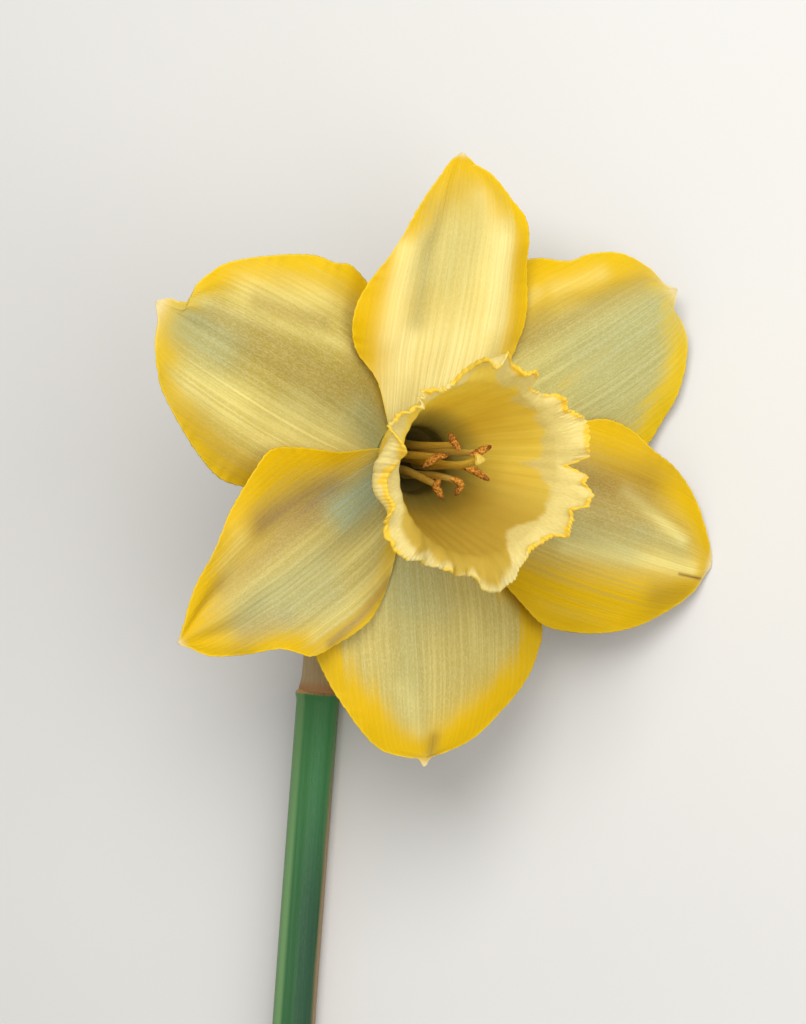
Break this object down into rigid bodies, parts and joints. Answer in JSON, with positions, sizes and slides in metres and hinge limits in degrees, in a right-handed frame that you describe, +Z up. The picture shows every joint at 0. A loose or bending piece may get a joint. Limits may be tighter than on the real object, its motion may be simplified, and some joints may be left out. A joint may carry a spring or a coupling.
{
  "type": "daffodil flower",
  "caption": "Picked daffodil lying on its stem and one petal tip: yellow petals round a frilled trumpet, with stamens, style, floral tube, ovary, papery sheath and cut green stem.",
  "frame": {"origin": "on the surface that the flower lies on, under the middle of the whole flower's box", "axes": "+Z up from the surface, +Y along the stem from its cut end towards the flower, +X to the side that the trumpet leans to"},
  "size_m": [0.0746, 0.2832, 0.0729],
  "materials": {
    "petal": "thin satin petal: deep yellow edge, pale cream and grey-green middle, fine veins",
    "trumpet": "smooth golden inside, whitish flared band, deep yellow crimped edge",
    "floral_tube": "yellow-green satin",
    "filament": "smooth pale gold",
    "anther": "granular orange-brown pollen",
    "style": "smooth yellow",
    "ovary": "smooth green, slight bloom",
    "flower_stalk": "smooth green",
    "spathe": "dry papery brown with fine veins",
    "stem": "waxy green with fine lengthwise lines"
  },
  "bodies": {
    "root": {"petal_top": "petal", "petal_lower_left": "petal", "petal_lower_right": "petal", "sepal_upper_left": "petal", "sepal_upper_right": "petal", "sepal_bottom": "petal", "trumpet": "trumpet", "floral_tube": "floral_tube", "filament_1": "filament", "filament_2": "filament", "filament_3": "filament", "filament_4": "filament", "filament_5": "filament", "filament_6": "filament", "anther_1": "anther", "anther_2": "anther", "anther_3": "anther", "anther_4": "anther", "anther_5": "anther", "anther_6": "anther", "style_and_stigma": "style", "ovary": "ovary", "flower_stalk": "flower_stalk", "spathe": "spathe", "stem": "stem"}
  },
  "joints": []
}
